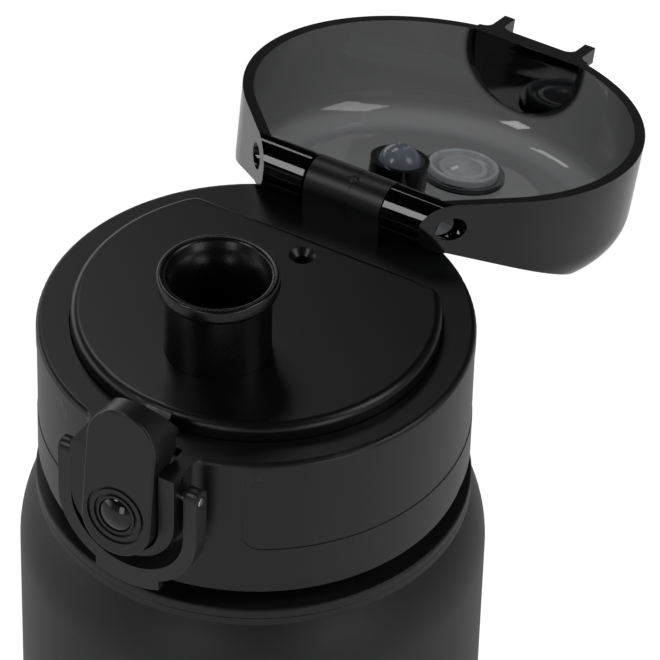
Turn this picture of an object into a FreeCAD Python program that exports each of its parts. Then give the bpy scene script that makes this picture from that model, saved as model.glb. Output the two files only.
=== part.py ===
"""Drinking bottle with a screw lid, a sprung flip cover, a rocking release tab and a swinging bail.

The bottle stands on z = 0 with its axis on Z.  The cover hinges about X at the rear (+Y) and the
release tab and the bail are at the front (-Y).  Everything is drawn where it sits with the lid
screwed down; the cover is drawn shut and then swung open about its hinge.
"""
import FreeCAD, Part
import math
import os
import Sketcher
from FreeCAD import Placement, Rotation, Vector

# Driving sizes in millimetres and degrees.  Heights called ..._drop are measured down from lid_top,
# and those called ..._lift up from it.
SIZES = {
    # bottle
    "lid_top": 217.0,
    "body_radius": 37.1,
    "body_wall": 2.2,
    "base_corner": 7.0,
    "base_rise": 4.0,
    "foot_width": 6.0,
    "shoulder_drop": 44.0,
    "shoulder_turn": 21.0,
    "bead_radius": 34.4,
    "bead_drop": 32.7,
    "bead_height": 3.3,
    "neck_radius": 29.2,
    "neck_wall": 2.4,
    # lid shell
    "lid_radius": 34.0,
    "lid_wall": 2.2,
    "lid_plate": 2.4,
    "skirt_drop": 24.2,
    "lid_edge": 0.9,
    "recess_depth": 0.4,
    "recess_drop": 3.1,
    "recess_height": 14.1,
    "recess_sweep": 125.0,
    "recess_corner": 3.0,
    # inner cap
    "lid_ring": 5.3,
    "disc_lift": 3.0,
    "disc_chord": 18.4,
    "disc_corner": 3.0,
    "disc_edge": 1.4,
    "lug_half": 2.2,
    "lug_proud": 0.5,
    "lug_bevel": 0.7,
    "cap_web_drop": 5.0,
    "cap_web": 2.7,
    "cap_hollow_radius": 24.0,
    "cap_wall": 1.2,
    "flange_inset": 0.6,
    "flange_height": 1.9,
    "plug_ring_depth": 4.0,
    "plug_ring_wall": 1.6,
    "gasket_thick": 2.0,
    # spout and vent
    "spout_place": 11.6,
    "spout_radius": 8.24,
    "spout_wall": 2.6,
    "spout_height": 17.3,
    "spout_lip": 9.5,
    "lip_height": 3.0,
    "lip_edge": 0.6,
    "funnel_depth": 7.0,
    "spout_flange": 10.6,
    "spout_flange_thick": 1.6,
    "spout_gasket_thick": 0.8,
    "vent_place": 13.8,
    "vent_radius": 1.1,
    "vent_cone": 1.0,
    # hinge
    "hinge_inset": 4.5,
    "hinge_lift": 4.9,
    "barrel_radius": 4.0,
    "barrel_half": 6.85,
    "pin_radius": 1.2,
    "pin_half": 13.4,
    "spring_bore": 2.9,
    "spring_bore_depth": 9.0,
    "spring_mean": 2.1,
    "spring_wire": 0.35,
    "spring_turns": 7.0,
    "open_angle": 192.8,
    # flip cover
    "cover_inset": 1.1,
    "cover_wall": 1.8,
    "cover_gap": 0.6,
    "cover_height": 19.0,
    "cover_draft": 2.0,
    "cover_round": 7.0,
    "arm_reach": 17.9,
    "slope_angle": 20.0,
    "knuckle_radius": 3.9,
    "arm_hole": 2.0,
    "arm_hole_start": 13.6,
    "barrel_notch": 6.8,
    "tube_radius": 4.8,
    "tube_wall": 0.8,
    "tube_lift": 4.9,
    "socket_wall": 1.0,
    "socket_height": 0.9,
    "seal_radius": 6.0,
    "seal_thick": 1.2,
    "seal_dome": 3.6,
    "seal_dome_height": 1.7,
    "plug_radius": 3.45,
    "plug_dome": 3.0,
    "plug_foot": 2.0,
    "scoop_depth": 3.3,
    "scoop_radius": 9.8,
    "recess_radius": 8.2,
    "scoop_centre": 2.0,
    "scoop_wall": 1.4,
    "catch_proud": 0.2,
    "catch_thick": 2.8,
    "horn_reach": 5.1,
    "horn_gap": 0.65,
    "horn_width": 1.95,
    "horn_flare": 1.7,
    # latch: frame on the lid, tab and bail
    "frame_proud": 5.1,
    "frame_wall": 2.75,
    "frame_centre_drop": 8.9,
    "frame_root": 1.5,
    "frame_blend": 2.2,
    "tab_half": 6.0,
    "tab_lean": 6.67,
    "tab_proud": 1.02,
    "tab_lift": 9.07,
    "tab_end_drop": 10.85,
    "tab_thick": 2.4,
    "tab_waist": 4.5,
    "tab_nose": 1.5,
    "tab_nose_height": 0.7,
    "tab_crest": 3.0,
    "tab_pivot_proud": 3.0,
    "tab_pivot_drop": 1.3,
    "tab_pin_radius": 0.75,
    "tab_floor": 0.6,
    "tab_well_depth": 1.1,
    "tab_well_back": 2.0,
    "button_drop": 9.6,
    "button_radius": 2.85,
    "button_crown": 0.9,
    "button_edge": 0.2,
    "button_sink": 0.9,
    "ring_inner": 3.8,
    "ring_outer": 5.0,
    "ring_width": 0.5,
    "ring_depth": 0.4,
    "tab_spring_mean": 1.4,
    "tab_spring_wire": 0.25,
    "tab_spring_turns": 4.0,
    "spring_seat_depth": 1.6,
    "bail_gap": 0.8,
    "bail_width": 2.3,
    "bail_depth": 3.0,
    "bail_centre_drop": 11.8,
    "bail_pivot_proud": 2.3,
    "bail_pivot_drop": 4.5,
    "bail_head": 2.0,
    "bail_pin_radius": 0.8,
    "bail_pin_wall": 0.6,
    "bail_lip_half": 5.6,
    "bail_lip": 1.6,
    "bail_lip_thick": 1.4,
    # clearances
    "running_fit": 0.05,
    "seat_gap": 0.2,
    "moving_gap": 0.35,
    "edge_break": 0.4,
}


class Size:
    """A size that carries its number and the sheet formula that gives it."""

    def __init__(self, number, formula):
        self.number = number
        self.formula = formula

    @staticmethod
    def of(item):
        """Wrap a plain number; leave a Size as it is."""
        return item if isinstance(item, Size) else Size(float(item), f"({float(item)})")

    def joined(self, other, sign, number):
        return Size(number, f"({self.formula} {sign} {other.formula})")

    def __add__(self, other):
        other = Size.of(other)
        return self.joined(other, "+", self.number + other.number)

    def __sub__(self, other):
        other = Size.of(other)
        return self.joined(other, "-", self.number - other.number)

    def __mul__(self, other):
        other = Size.of(other)
        return self.joined(other, "*", self.number * other.number)

    def __truediv__(self, other):
        other = Size.of(other)
        return self.joined(other, "/", self.number / other.number)

    def __radd__(self, other):
        return Size.of(other) + self

    def __rsub__(self, other):
        return Size.of(other) - self

    def __rmul__(self, other):
        return Size.of(other) * self

    def __neg__(self):
        return Size.of(0) - self

    def root(self):
        return Size(math.sqrt(self.number), f"sqrt({self.formula})")

    def sine(self):
        return Size(math.sin(math.radians(self.number)), f"sin({self.formula})")

    def cosine(self):
        return Size(math.cos(math.radians(self.number)), f"cos({self.formula})")

    def tangent(self):
        return Size(math.tan(math.radians(self.number)), f"tan({self.formula})")


class Sheet:
    """The sheet of driving sizes; each alias reads as an attribute."""

    def __init__(self, doc, sizes):
        self.cells = doc.addObject("Spreadsheet::Sheet", "Sizes")
        for row, (alias, number) in enumerate(sizes.items(), start=1):
            self.cells.set(f"A{row}", alias.replace("_", " "))
            self.cells.set(f"B{row}", str(number))
            self.cells.setAlias(f"B{row}", alias)
        doc.recompute()

    def __getattr__(self, alias):
        return Size(float(self.cells.get(alias)), f"Sizes.{alias}")


DOC = FreeCAD.newDocument("FlipTopBottle")
S = Sheet(DOC, SIZES)
ZERO = Size.of(0)
LEAST_CUT = 0.1
FAR = Size.of(60)
AXES = {"XY": "XY_Plane", "XZ": "XZ_Plane", "YZ": "YZ_Plane", "Z": "Z_Axis", "Y": "Y_Axis"}


def bind(item, prop, size):
    """Tie a property of a document object to a sheet formula."""
    item.setExpression(prop, Size.of(size).formula)


def origin(body, name):
    """A plane or axis of the body's own origin."""
    return next(part for part in body.Origin.OriginFeatures if part.Role == AXES[name])


def new_body(name, place=None):
    body = DOC.addObject("PartDesign::Body", name)
    body.Label = name
    if place is not None:
        for axis, size in zip("xyz", place):
            bind(body, f".Placement.Base.{axis}", size)
    return body


def new_sketch(body, plane, lift=ZERO):
    """A sketch on an origin plane of the body, lifted along the plane's normal."""
    sketch = body.newObject("Sketcher::SketchObject", f"{body.Name}_outline")
    sketch.AttachmentSupport = [(origin(body, plane), "")]
    sketch.MapMode = "FlatFace"
    bind(sketch, ".AttachmentOffset.Base.z", lift)
    return sketch


def pin(sketch, shape, end, x, y):
    """Fix a point of the sketch at two sizes measured from the sketch's origin."""
    for kind, size in (("DistanceX", Size.of(x)), ("DistanceY", Size.of(y))):
        index = sketch.addConstraint(Sketcher.Constraint(kind, -1, 1, shape, end, size.number))
        sketch.setExpression(f"Constraints[{index}]", size.formula)


def set_radius(sketch, shape, radius):
    index = sketch.addConstraint(Sketcher.Constraint("Radius", shape, radius.number))
    sketch.setExpression(f"Constraints[{index}]", radius.formula)


def arc_between(start, end, radius, side):
    """The shorter arc from start to end whose centre lies on the given side of the way."""
    chord = end - start
    middle = (start + end) * 0.5
    across = Vector(-chord.y, chord.x, 0).normalize()
    offset = math.sqrt(max(radius ** 2 - (chord.Length / 2) ** 2, 0.0))
    centre = middle + across * (offset if side == "left" else -offset)
    first, last = (start, end) if side == "left" else (end, start)
    angles = [math.atan2(p.y - centre.y, p.x - centre.x) for p in (first, last)]
    circle = Part.Circle(centre, Vector(0, 0, 1), radius)
    return Part.ArcOfCircle(circle, angles[0], angles[1] + (2 * math.pi if angles[1] < angles[0] else 0))


def draw_loop(sketch, corners):
    """A closed outline.  A corner is (x, y), or (x, y, radius, side) when an arc arrives there."""
    spots = [Vector(Size.of(c[0]).number, Size.of(c[1]).number, 0) for c in corners]
    first = sketch.GeometryCount
    starts, ends = [], []
    for number, corner in enumerate(corners):
        start, end = spots[number - 1], spots[number]
        if len(corner) == 2:
            shape = sketch.addGeometry(Part.LineSegment(start, end), False)
            starts.append((shape, 1))
            ends.append((shape, 2))
            continue
        radius = Size.of(corner[2])
        shape = sketch.addGeometry(arc_between(start, end, radius.number, corner[3]), False)
        set_radius(sketch, shape, radius)
        order = (1, 2) if corner[3] == "left" else (2, 1)
        starts.append((shape, order[0]))
        ends.append((shape, order[1]))
    for number in range(len(corners)):
        following = (number + 1) % len(corners)
        sketch.addConstraint(Sketcher.Constraint("Coincident", *ends[number], *starts[following]))
        pin(sketch, *ends[number], corners[number][0], corners[number][1])
    return first


def draw_circle(sketch, x, y, radius):
    radius = Size.of(radius)
    centre = Vector(Size.of(x).number, Size.of(y).number, 0)
    shape = sketch.addGeometry(Part.Circle(centre, Vector(0, 0, 1), radius.number), False)
    pin(sketch, shape, 3, x, y)
    set_radius(sketch, shape, radius)


def draw(sketch, loops):
    """Draw closed outlines; a loop of the form ("circle", x, y, radius) is a circle."""
    for loop in loops:
        if loop[0] == "circle":
            draw_circle(sketch, *loop[1:])
        else:
            draw_loop(sketch, loop)
    DOC.recompute()
    return sketch


def finish(body, feature):
    DOC.recompute()
    if "Invalid" in feature.State or body.Shape.isNull():
        raise RuntimeError(f"{body.Label}: {feature.Name} failed")
    return feature


def revolve(body, corners, plane="XZ", axis="Z"):
    feature = body.newObject("PartDesign::Revolution", "Turned")
    feature.Profile = draw(new_sketch(body, plane), [corners])
    feature.ReferenceAxis = (origin(body, axis), [""])
    feature.Angle = 360
    return finish(body, feature)


def groove(body, corners, plane, angle):
    """Turn an outline about Z and cut it away over an angle centred on the plane."""
    sketch = new_sketch(body, plane)
    feature = body.newObject("PartDesign::Groove", "Groove")
    feature.Profile = draw(sketch, [corners])
    feature.ReferenceAxis = (origin(body, "Z"), [""])
    feature.Midplane = True
    bind(feature, "Angle", angle)
    return cutting(body, feature)


def cutting(body, feature):
    """Finish a cut and check that it took something away."""
    before = body.Shape.Volume if feature.BaseFeature is None else feature.BaseFeature.Shape.Volume
    finish(body, feature)
    if feature.Shape.Volume >= before - LEAST_CUT:
        raise RuntimeError(f"{body.Label}: {feature.Name} cut nothing")
    return feature


def extrude(body, kind, plane, loops, length, lift, both, reverse, taper):
    sketch = draw(new_sketch(body, plane, lift), loops)
    feature = body.newObject(f"PartDesign::{kind}", kind)
    feature.Profile = sketch
    bind(feature, "Length", length)
    feature.Midplane = both
    feature.Reversed = reverse
    if taper is not None:
        bind(feature, "TaperAngle", taper)
    return feature


def pad(body, plane, loops, length, lift=ZERO, both=False, reverse=False, taper=None):
    return finish(body, extrude(body, "Pad", plane, loops, length, lift, both, reverse, taper))


def pocket(body, plane, loops, length, lift=ZERO, both=False, reverse=False):
    """Cut along the plane's normal; reverse cuts against it."""
    feature = extrude(body, "Pocket", plane, loops, length, lift, both, not reverse, None)
    return cutting(body, feature)


def edges_at(shape, spots):
    """Names of the edges that pass through the given points."""
    names = []
    for spot in spots:
        point = Part.Vertex(Vector(*[Size.of(c).number for c in spot]))
        gaps = [edge.distToShape(point)[0] for edge in shape.Edges]
        nearest = min(range(len(gaps)), key=gaps.__getitem__)
        names.append(f"Edge{nearest + 1}")
    return sorted(set(names))


def dress(body, kind, prop, size, spots):
    base = body.Tip
    feature = body.newObject(f"PartDesign::{kind}", kind)
    feature.Base = (base, edges_at(base.Shape, spots))
    bind(feature, prop, size)
    return finish(body, feature)


def fillet(body, radius, spots):
    return dress(body, "Fillet", "Radius", radius, spots)


def chamfer(body, size, spots):
    return dress(body, "Chamfer", "Size", size, spots)


def box_loop(x0, y0, x1, y1):
    return [(x0, y0), (x1, y0), (x1, y1), (x0, y1)]


def arch_loop(half, top, centre):
    """An outline straight down from top to centre and closed by a half circle below."""
    return [(half, top), (-half, top), (-half, centre), (ZERO, centre - half, half, "left"),
            (half, centre, half, "left")]


# Heights shared between pieces.
TOP = S.lid_top
DISC_TOP = TOP + S.disc_lift
WEB = TOP - S.cap_web_drop
NECK_TOP = WEB - S.gasket_thick
NECK_BORE = S.neck_radius - S.neck_wall
SHELL_BORE = S.lid_radius - S.lid_wall
DISC_RADIUS = S.lid_radius - S.lid_ring
CAP_OUTER = SHELL_BORE - S.seat_gap
CAP_BORE = CAP_OUTER - S.cap_wall
HOLLOW_TOP = DISC_TOP - S.cap_web
CHORD = S.disc_chord
COVER_RADIUS = S.lid_radius - S.cover_inset
SCOOP_FACE = COVER_RADIUS - S.scoop_depth
CATCH_FRONT = COVER_RADIUS + S.catch_proud
RIM = TOP + S.cover_gap
ROOF = RIM + S.cover_height
CEILING = ROOF - S.cover_wall
HINGE_Y = S.lid_radius - S.hinge_inset
HINGE_Z = TOP + S.hinge_lift
ARM_ROUND = S.hinge_lift - S.cover_gap
TUBE_BORE = S.tube_radius - S.tube_wall
WELL_HALF = S.tab_half + S.moving_gap
FRAME_HALF = WELL_HALF + S.frame_wall
FRAME_FRONT = S.lid_radius + S.frame_proud
TAB_NOSE = S.lid_radius - S.tab_nose
TAB_FLOOR = S.lid_radius + S.tab_floor
TAB_END_Z = TOP - S.tab_end_drop
BUTTON_Z = TOP - S.button_drop
PIVOT_Y = S.lid_radius + S.tab_pivot_proud
PIVOT_Z = TOP - S.tab_pivot_drop
TAB_FRONT = FRAME_FRONT + S.tab_proud
TAB_BACK = TAB_FRONT - S.tab_thick
CATCH_TOP = RIM + S.catch_thick
BAIL_Z = TOP - S.bail_pivot_drop
BAIL_Y = S.lid_radius + S.bail_pivot_proud
BAIL_INNER = FRAME_HALF + S.bail_gap
BAIL_OUTER = BAIL_INNER + S.bail_width
BAIL_PIN_INNER = WELL_HALF + S.bail_pin_wall


def bottle_body():
    """Blown bottle: dished foot, straight wall, domed shoulder, support bead and neck."""
    body = new_body("bottle_body")
    radius, wall, corner = S.body_radius, S.body_wall, S.base_corner
    low = TOP - S.shoulder_drop
    bead_low, bead_top = TOP - S.bead_drop, TOP - S.bead_drop + S.bead_height
    turn = S.shoulder_turn
    rise = bead_low - low
    shoulder = radius - turn + (turn * turn - rise * rise).root()
    foot = radius - corner - S.foot_width
    revolve(body, [
        (ZERO, S.base_rise), (foot - S.base_rise, S.base_rise), (foot, ZERO), (radius - corner, ZERO),
        (radius, corner, corner, "left"), (radius, low), (shoulder, bead_low, turn, "left"),
        (S.bead_radius, bead_low), (S.bead_radius, bead_top), (S.neck_radius, bead_top),
        (S.neck_radius, NECK_TOP), (NECK_BORE, NECK_TOP), (NECK_BORE, bead_low),
        (radius - wall, low - wall), (radius - wall, corner + wall),
        (radius - corner, S.base_rise + wall, corner - wall, "right"), (ZERO, S.base_rise + wall)])
    fillet(body, S.edge_break, [(S.bead_radius, 0, bead_low), (S.bead_radius, 0, bead_top)])
    return body


def neck_gasket():
    """Flat silicone ring squeezed between the cap's web and the end of the neck."""
    body = new_body("neck_gasket")
    inner, outer = NECK_BORE + S.seat_gap, CAP_BORE - S.seat_gap
    revolve(body, [(inner, NECK_TOP), (outer, NECK_TOP), (outer, WEB), (inner, WEB)])
    return body


def inner_cap():
    """Screw cap inside the lid: raised disc on top, threaded sleeve, and a flange under the skirt."""
    body = new_body("inner_cap")
    skirt = TOP - S.skirt_drop - S.seat_gap
    flange = S.lid_radius - S.flange_inset
    under = TOP - S.lid_plate - S.seat_gap
    ring = NECK_BORE - S.moving_gap
    ring_end = WEB - S.plug_ring_depth
    revolve(body, [
        (ZERO, DISC_TOP), (DISC_RADIUS, DISC_TOP), (DISC_RADIUS, under), (CAP_OUTER, under),
        (CAP_OUTER, skirt), (flange, skirt), (flange, skirt - S.flange_height),
        (CAP_BORE, skirt - S.flange_height), (CAP_BORE, WEB), (ring, WEB), (ring, ring_end),
        (ring - S.plug_ring_wall, ring_end), (ring - S.plug_ring_wall, WEB), (ZERO, WEB)])
    pocket(body, "XY", [box_loop(-FAR, CHORD, FAR, FAR)], FAR, lift=under)
    hollow, back = S.cap_hollow_radius, CHORD - S.cap_web
    half = (hollow * hollow - back * back).root()
    pocket(body, "XY", [[(-half, back), (-hollow, ZERO, hollow, "left"),
                         (ZERO, -hollow, hollow, "left"), (hollow, ZERO, hollow, "left"),
                         (half, back, hollow, "left")]], HOLLOW_TOP - WEB, lift=WEB)
    pocket(body, "XY", [("circle", ZERO, -S.spout_place, S.spout_radius + S.running_fit)], FAR,
           lift=WEB)
    pocket(body, "XY", [("circle", ZERO, S.vent_place, S.vent_radius)], FAR, lift=WEB)
    chamfer(body, S.vent_cone, [(S.vent_radius, S.vent_place, DISC_TOP)])
    corner = (DISC_RADIUS * DISC_RADIUS - CHORD * CHORD).root()
    fillet(body, S.disc_corner, [(side * corner, CHORD, DISC_TOP - 1) for side in (1, -1)])
    fillet(body, S.disc_edge, [(0, CHORD, DISC_TOP)])
    foot = TOP + S.seat_gap
    lug_front = DISC_RADIUS + S.lug_proud
    pad(body, "XY", [box_loop(-S.lug_half, -lug_front, S.lug_half, S.disc_edge * 2 - DISC_RADIUS)],
        DISC_TOP - S.lug_bevel / 2 - foot, lift=foot)
    chamfer(body, S.lug_bevel, [(0, -lug_front, DISC_TOP)])
    return body


def drinking_spout():
    """Turned spout with a funnel mouth, a rolled lip and a flange that seats under the web."""
    body = new_body("drinking_spout", (ZERO, -S.spout_place, ZERO))
    outer, lip = S.spout_radius, S.spout_lip
    bore = outer - S.spout_wall
    tip = TOP + S.spout_height
    mouth, depth = lip - S.lip_edge, S.funnel_depth
    flare = (depth * depth + (mouth - bore) * (mouth - bore)) / ((mouth - bore) * 2)
    flange_top = HOLLOW_TOP - S.spout_gasket_thick
    foot = flange_top - S.spout_flange_thick
    roll = S.lip_height / 2
    revolve(body, [
        (bore, foot), (S.spout_flange, foot), (S.spout_flange, flange_top), (outer, flange_top),
        (outer, tip - S.lip_height), (lip, tip - roll, roll, "left"), (lip, tip - S.lip_edge),
        (mouth, tip, S.lip_edge, "left"), (bore, tip - depth, flare, "left")])
    return body


def spout_gasket():
    """Flat silicone ring between the spout's flange and the cap's web."""
    body = new_body("spout_gasket", (ZERO, -S.spout_place, ZERO))
    low = HOLLOW_TOP - S.spout_gasket_thick
    inner = S.spout_radius + S.seat_gap
    revolve(body, [(inner, low), (S.spout_flange, low), (S.spout_flange, HOLLOW_TOP),
                   (inner, HOLLOW_TOP)])
    return body


def lid_shell():
    """Outer lid: ring plate and skirt, hinge barrel at the rear, latch frame at the front."""
    body = new_body("lid_shell")
    opening = DISC_RADIUS + S.seat_gap
    skirt = TOP - S.skirt_drop
    plate = TOP - S.lid_plate
    revolve(body, [(opening, TOP), (S.lid_radius, TOP), (S.lid_radius, skirt), (SHELL_BORE, skirt),
                   (SHELL_BORE, plate), (opening, plate)])
    fillet(body, S.lid_edge, [(S.lid_radius, 0, TOP)])
    rear_plate(body, plate)
    hinge_block(body)
    latch_frame(body)
    side_recesses(body)
    return body


def rear_plate(body, plate):
    """The lid's flat top behind the disc's straight edge."""
    edge = CHORD + S.seat_gap
    reach = DISC_RADIUS + S.seat_gap + 1
    half = (reach * reach - edge * edge).root()
    pad(body, "XY", [[(half, edge), (ZERO, reach, reach, "left"), (-half, edge, reach, "left")]],
        S.lid_plate, lift=plate)


def hinge_block(body):
    """Barrel on a block, bored for the pin and for the spring, with room for the open cover."""
    radius, half = S.barrel_radius, S.barrel_half
    low = TOP - S.lid_plate / 2
    pad(body, "YZ", [[(HINGE_Y + radius, low), (HINGE_Y + radius, HINGE_Z),
                      (HINGE_Y, HINGE_Z + radius, radius, "left"),
                      (HINGE_Y - radius, HINGE_Z, radius, "left"), (HINGE_Y - radius, low)]],
        half * 2, both=True)
    pocket(body, "YZ", [("circle", HINGE_Y, HINGE_Z, S.pin_radius + S.running_fit)], FAR, both=True)
    pocket(body, "YZ", [("circle", HINGE_Y, HINGE_Z, S.spring_bore)], S.spring_bore_depth,
           lift=half, reverse=True)
    rear = S.lid_radius + 2
    fall = (S.open_angle - 180 + S.slope_angle).tangent()
    start = HINGE_Y - S.moving_gap / fall
    drop = (rear - start) * fall
    wedge = [(start, TOP), (rear, TOP - drop), (rear, TOP + 1), (start, TOP + 1)]
    reach = S.arm_reach + 2 - half
    pocket(body, "YZ", [wedge], reach, lift=half)
    pocket(body, "YZ", [wedge], reach, lift=-half, reverse=True)


def latch_frame(body):
    """U-shaped frame that holds the tab's pivot and the bail's pivots."""
    front, half, well = FRAME_FRONT, FRAME_HALF, WELL_HALF
    root = S.lid_radius - S.frame_root
    arch = TOP - S.frame_centre_drop
    pad(body, "XZ", [arch_loop(half, TOP, arch)], front - root, lift=root)
    pocket(body, "YZ", [("circle", -PIVOT_Y, PIVOT_Z, S.tab_pin_radius + S.running_fit)], FAR, both=True)
    hole = ("circle", -BAIL_Y, BAIL_Z, S.bail_pin_radius + S.running_fit)
    pocket(body, "YZ", [hole], FAR, lift=BAIL_PIN_INNER)
    pocket(body, "YZ", [hole], FAR, lift=-BAIL_PIN_INNER, reverse=True)
    side = (S.lid_radius * S.lid_radius - half * half).root()
    middle = TOP - S.frame_centre_drop / 2
    fillet(body, S.frame_blend, [(half, -side, middle), (-half, -side, middle)])
    pocket(body, "XZ", [arch_loop(well, TOP + 1, TAB_END_Z)], front - TAB_FLOOR + 1, lift=TAB_FLOOR)
    pocket(body, "XY", [box_loop(-well, -front - 1, well, S.tab_well_back - S.lid_radius)], FAR,
           lift=TOP - S.tab_well_depth)
    pocket(body, "XZ", [("circle", ZERO, BUTTON_Z, S.tab_spring_mean + S.tab_spring_wire * 3)],
           S.spring_seat_depth, lift=TAB_FLOOR, reverse=True)


def side_recesses(body):
    """A shallow panel recess round each side of the skirt, starting beside the latch."""
    top = TOP - S.recess_drop
    low = top - S.recess_height
    floor = S.lid_radius - S.recess_depth
    outline = box_loop(floor, low, S.lid_radius + 1, top)
    groove(body, outline, "XZ", S.recess_sweep)
    groove(body, box_loop(-S.lid_radius - 1, low, -floor, top), "XZ", S.recess_sweep)
    reach, half = S.lid_radius - S.recess_depth / 2, S.recess_sweep / 2
    across, along = reach * half.cosine(), reach * half.sine()
    fillet(body, S.recess_corner, [(x * across, y * along, z)
                                   for x in (1, -1) for y in (1, -1) for z in (top, low)])


def cover_plan(inset):
    """Round cover outline whose sides run on tangentially to the hinge arms."""
    radius, reach, place = COVER_RADIUS, S.arm_reach, HINGE_Y
    span = reach * reach + place * place
    run = (span - radius * radius).root()
    touch_x = (radius * radius * reach + radius * run * place) / span
    touch_y = (radius * radius * place - radius * run * reach) / span
    lean = (touch_x - reach) / (place - touch_y)
    inner = radius - inset
    turn_x, turn_y = touch_x * inner / radius, touch_y * inner / radius
    end = place + ARM_ROUND - inset
    end_x = turn_x - lean * (end - turn_y)
    return [(-end_x, end), (-turn_x, turn_y), (-inner, ZERO, inner, "left"),
            (ZERO, -inner, inner, "left"), (inner, ZERO, inner, "left"),
            (turn_x, turn_y, inner, "left"), (end_x, end)]


def cover_form(name, inset):
    """The cover's rounded form, or the hollow inside it when an inset is given."""
    body = new_body(name)
    pad(body, "XY", [cover_plan(inset)], S.cover_height - inset, lift=RIM, taper=-S.cover_draft)
    edge = COVER_RADIUS - inset
    fillet(body, S.cover_round - inset, [(side * edge, -1, ROOF - inset) for side in (1, -1)])
    end, rear, low = ARM_ROUND - inset, HINGE_Y + ARM_ROUND + 3, RIM - 1
    crest = HINGE_Y - (ROOF + 1 - HINGE_Z - end) / S.slope_angle.tangent()
    pocket(body, "YZ", [[(HINGE_Y, HINGE_Z - end), (HINGE_Y + end, HINGE_Z, end, "left"),
                         (HINGE_Y, HINGE_Z + end, end, "left"), (crest, ROOF + 1),
                         (rear, ROOF + 1), (rear, low), (HINGE_Y, low)]], FAR * 2, both=True)
    return body


def flip_cover():
    """Domed cover with hinge knuckles, catch lip and horns, vent tube and seal socket."""
    body = cover_form("flip_cover", ZERO)
    hollow = body.newObject("PartDesign::Boolean", "Hollow")
    hollow.Type = "Cut"
    hollow.addObject(cover_hollow())
    cutting(body, hollow)
    cover_hinge(body)
    cover_catch(body)
    return body


def cover_hinge(body):
    """Knuckles either side of the barrel, the gap for the barrel, and the pin's bore."""
    inner = S.barrel_half + S.moving_gap
    pocket(body, "XY", [box_loop(-inner, HINGE_Y - S.barrel_notch, inner, FAR)], FAR, lift=RIM - 1)
    outer = S.arm_hole_start + S.edge_break
    rod = ("circle", HINGE_Y, HINGE_Z, S.knuckle_radius)
    pad(body, "YZ", [rod], outer - inner, lift=inner)
    pad(body, "YZ", [rod], outer - inner, lift=-inner, reverse=True)
    pocket(body, "YZ", [("circle", HINGE_Y, HINGE_Z, S.pin_radius + S.running_fit)], FAR, both=True)
    hole = ("circle", HINGE_Y, HINGE_Z, S.arm_hole)
    pocket(body, "YZ", [hole], FAR, lift=S.arm_hole_start)
    pocket(body, "YZ", [hole], FAR, lift=-S.arm_hole_start, reverse=True)


def arch_over(radius, centre, floor):
    """A circle's upper part above a floor line."""
    half = (radius * radius - (centre - floor) * (centre - floor)).root()
    return [(half, floor), (ZERO, centre + radius, radius, "left"), (-half, floor, radius, "left")]


def cover_catch(body):
    """Thickened front with a scoop for the tab's nose, the catch lip and a horn each side."""
    centre = RIM + S.scoop_centre
    inside = COVER_RADIUS - S.cover_wall
    horn_inner = S.tab_half + S.horn_gap
    horn_outer = horn_inner + S.horn_width
    pad(body, "XZ", [arch_over(S.scoop_radius, centre, RIM)], inside + 0.1 - SCOOP_FACE,
        lift=SCOOP_FACE)
    pad(body, "XY", [box_loop(-horn_inner, -CATCH_FRONT, horn_inner, -inside)],
        S.catch_thick, lift=RIM)
    flare, tip = S.horn_flare, -COVER_RADIUS - S.horn_reach
    front, side = -CATCH_FRONT, -inside - flare / 2
    for mirror, turn in ((1, "right"), (-1, "left")):
        pad(body, "XY", [[
            (mirror * (horn_inner - flare), front), (mirror * horn_inner, front - flare, flare, turn),
            (mirror * horn_inner, tip), (mirror * horn_outer, tip),
            (mirror * horn_outer, side - flare), (mirror * (horn_outer + flare), side, flare, turn),
            (mirror * (horn_outer + flare), -SCOOP_FACE - 1),
            (mirror * (horn_inner - flare), -SCOOP_FACE - 1)]], S.catch_thick, lift=RIM)
    back = SCOOP_FACE + S.scoop_wall
    pocket(body, "XZ", [arch_over(S.recess_radius, centre, CATCH_TOP)], FAR, lift=back)


def cover_hollow():
    """What the cover is hollowed by: it leaves the vent tube and the seal's socket standing."""
    body = cover_form("cover_hollow", S.cover_wall)
    seal = S.seal_radius + S.running_fit
    for y, outer, inner, low in (
            (S.vent_place, S.tube_radius, TUBE_BORE, TOP + S.tube_lift),
            (-S.spout_place, seal + S.socket_wall, seal, CEILING - S.socket_height)):
        pocket(body, "XY", [("circle", ZERO, y, outer), ("circle", ZERO, y, inner)], FAR, lift=low)
    return body


def vent_plug():
    """Silicone plug held in the cover's tube by its foot; its dome closes the vent."""
    body = new_body("vent_plug")
    radius, foot = S.plug_radius, TUBE_BORE - S.running_fit
    apex = DISC_TOP - S.vent_cone / 2
    shoulder = apex + S.plug_dome
    dome = (radius * radius + S.plug_dome * S.plug_dome) / (S.plug_dome * 2)
    seat = HINGE_Z + ARM_ROUND - S.cover_wall - S.seat_gap
    top = seat + (HINGE_Y - S.vent_place - foot) * S.slope_angle.tangent()
    revolve(body, [(ZERO, apex), (radius, shoulder, dome, "left"), (radius, top - S.plug_foot),
                   (foot, top - S.plug_foot), (foot, top), (ZERO, top)])
    return body


def spout_seal():
    """Silicone disc in the cover's socket with a dome that closes the spout."""
    body = new_body("spout_seal")
    face = CEILING - S.seal_thick
    dome = (S.seal_dome * S.seal_dome + S.seal_dome_height * S.seal_dome_height) / (S.seal_dome_height * 2)
    revolve(body, [(ZERO, face - S.seal_dome_height), (S.seal_dome, face, dome, "left"),
                   (S.seal_radius, face), (S.seal_radius, CEILING), (ZERO, CEILING)])
    return body


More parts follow.
